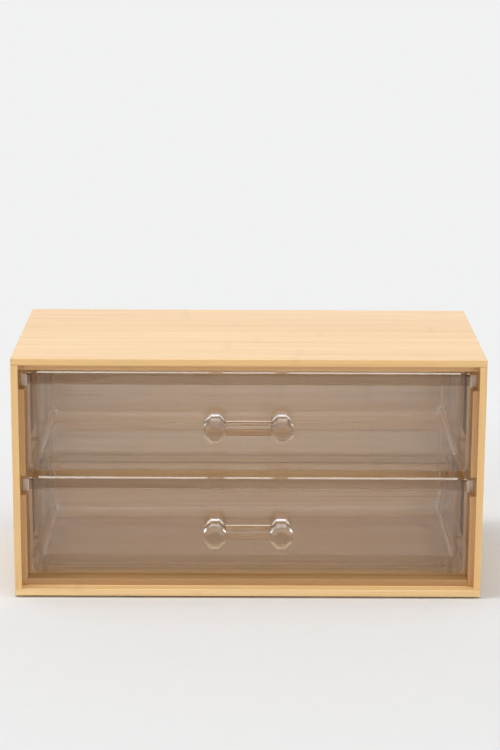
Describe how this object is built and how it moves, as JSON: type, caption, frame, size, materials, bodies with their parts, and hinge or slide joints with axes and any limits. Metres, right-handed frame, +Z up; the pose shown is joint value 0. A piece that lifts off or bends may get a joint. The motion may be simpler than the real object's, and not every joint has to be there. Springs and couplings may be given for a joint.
{
  "type": "makeup organizer with drawers",
  "caption": "Bamboo tabletop organizer with clear trays as drawers: their rims hang and slide in grooved side boards, and each is pulled by a clear bevelled knob handle.",
  "frame": {"origin": "bottom centre of the part's box, on the plane that the feet stand on", "axes": "+Z up, front and handles towards -Y, +X to the right seen from the front"},
  "size_m": [0.33, 0.17, 0.1741],
  "materials": {
    "bamboo": "satin lacquered bamboo, fine straight grain",
    "bamboo_back": "satin bamboo panel",
    "clear_plastic": "clear glossy moulded plastic",
    "foot_rubber": "matt",
    "pin_steel": "plain steel"
  },
  "bodies": {
    "case": {"top_board": "bamboo", "bottom_board": "bamboo", "left_side": "bamboo", "right_side": "bamboo", "back_panel": "bamboo_back", "back_pins": "pin_steel", "foot_front_left": "foot_rubber", "foot_front_right": "foot_rubber", "foot_rear_left": "foot_rubber", "foot_rear_right": "foot_rubber"},
    "upper_drawer": {"upper_tray": "clear_plastic", "upper_handle": "clear_plastic"},
    "lower_drawer": {"lower_tray": "clear_plastic", "lower_handle": "clear_plastic"}
  },
  "joints": [
    {"name": "upper_drawer_slide", "type": "slide", "parent": "case", "child": "upper_drawer", "axis": [0, -1, 0], "range_m": [0, 0.12]},
    {"name": "lower_drawer_slide", "type": "slide", "parent": "case", "child": "lower_drawer", "axis": [0, -1, 0], "range_m": [0, 0.12]}
  ]
}
